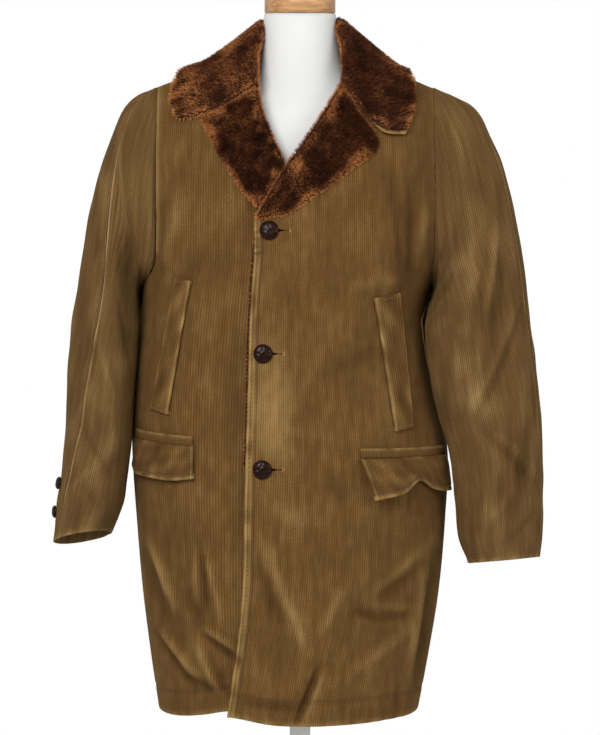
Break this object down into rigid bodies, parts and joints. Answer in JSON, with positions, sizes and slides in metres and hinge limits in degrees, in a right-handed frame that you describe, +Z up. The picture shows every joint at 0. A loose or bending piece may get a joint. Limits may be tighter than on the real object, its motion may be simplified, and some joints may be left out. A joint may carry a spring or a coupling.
{
  "type": "corduroy car coat on a dress form stand",
  "caption": "Buttoned corduroy car coat with a fur collar and lapels, slanted welt pockets and flap pockets, worn by a limbless dress form on a pole with a round base.",
  "frame": {"origin": "on the floor, under the middle of the part's box", "axes": "+X to the wearer's left, -Y the way the coat faces, +Z up"},
  "size_m": [0.655, 0.41, 1.5838],
  "materials": {
    "corduroy": "brown ribbed cotton with a worn nap",
    "fur": "dark red-brown pile",
    "leather": "dark brown, polished",
    "jersey": "smooth white cover",
    "wood": "varnished",
    "steel": "brushed"
  },
  "bodies": {
    "root": {"back": "corduroy", "button_low": "leather", "button_middle": "leather", "button_top": "leather", "collar": "fur", "collar_stand": "fur", "cuff_button_left_1": "leather", "cuff_button_left_2": "leather", "cuff_button_right_1": "leather", "cuff_button_right_2": "leather", "facing_left": "fur", "flap_left": "corduroy", "flap_right": "corduroy", "form_torso": "jersey", "front_left": "corduroy", "front_right": "corduroy", "jet_left": "corduroy", "jet_right": "corduroy", "lapel_left": "fur", "lapel_right": "fur", "neck_cap": "wood", "sleeve_left_back": "corduroy", "sleeve_left_front": "corduroy", "sleeve_right_back": "corduroy", "sleeve_right_front": "corduroy", "stand_base": "steel", "stand_pole": "steel", "undercollar": "corduroy", "welt_left": "corduroy", "welt_right": "corduroy"}
  },
  "joints": []
}
